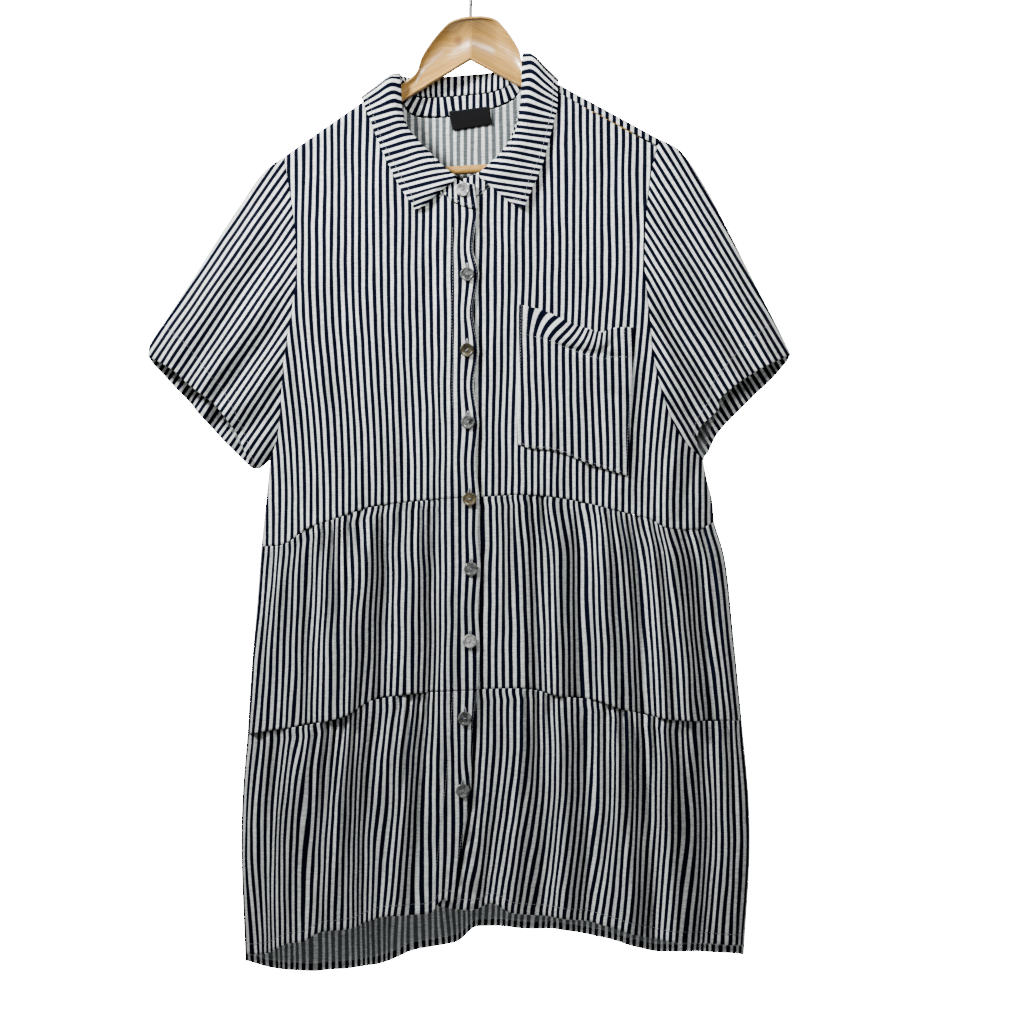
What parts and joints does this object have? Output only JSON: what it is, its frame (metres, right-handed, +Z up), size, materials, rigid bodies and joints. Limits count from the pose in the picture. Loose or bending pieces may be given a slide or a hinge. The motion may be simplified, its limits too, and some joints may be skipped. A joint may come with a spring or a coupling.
{
  "type": "gathered tier shirt dress with wooden bar hanger",
  "caption": "Short-sleeved shirt dress in striped cloth with gathered skirt tiers, buttoned down the front and hung on a wooden hanger with a trouser bar",
  "frame": {"origin": "inner top of the hanger's hook, where a rod carries it", "axes": "+Z up, the front faces -Y, +X is the wearer's left"},
  "size_m": [0.6486, 0.0767, 1.0475],
  "materials": {
    "striped_cloth": "matte woven cotton in navy and off-white stripes",
    "label_cloth": "plain black woven label",
    "button_shell": "smooth shell-like grey and olive",
    "hanger_wood": "clear satin lacquer on amber wood",
    "hook_steel": "bright plated wire"
  },
  "bodies": {
    "root": {"bodice_front_right": "striped_cloth", "bodice_front_left": "striped_cloth", "bodice_back": "striped_cloth", "sleeve_right": "striped_cloth", "sleeve_left": "striped_cloth", "tier_upper_right": "striped_cloth", "tier_upper_left": "striped_cloth", "tier_lower_right": "striped_cloth", "tier_lower_left": "striped_cloth", "tier_upper_back": "striped_cloth", "tier_lower_back": "striped_cloth", "collar_fall": "striped_cloth", "collar_stand": "striped_cloth", "chest_pocket": "striped_cloth", "neck_label": "label_cloth", "button_1": "button_shell", "button_2": "button_shell", "button_3": "button_shell", "button_4": "button_shell", "button_5": "button_shell", "button_6": "button_shell", "button_7": "button_shell", "button_8": "button_shell", "button_9": "button_shell", "hanger_arch": "hanger_wood", "hanger_bar": "hanger_wood", "hanger_hook": "hook_steel"}
  },
  "joints": []
}
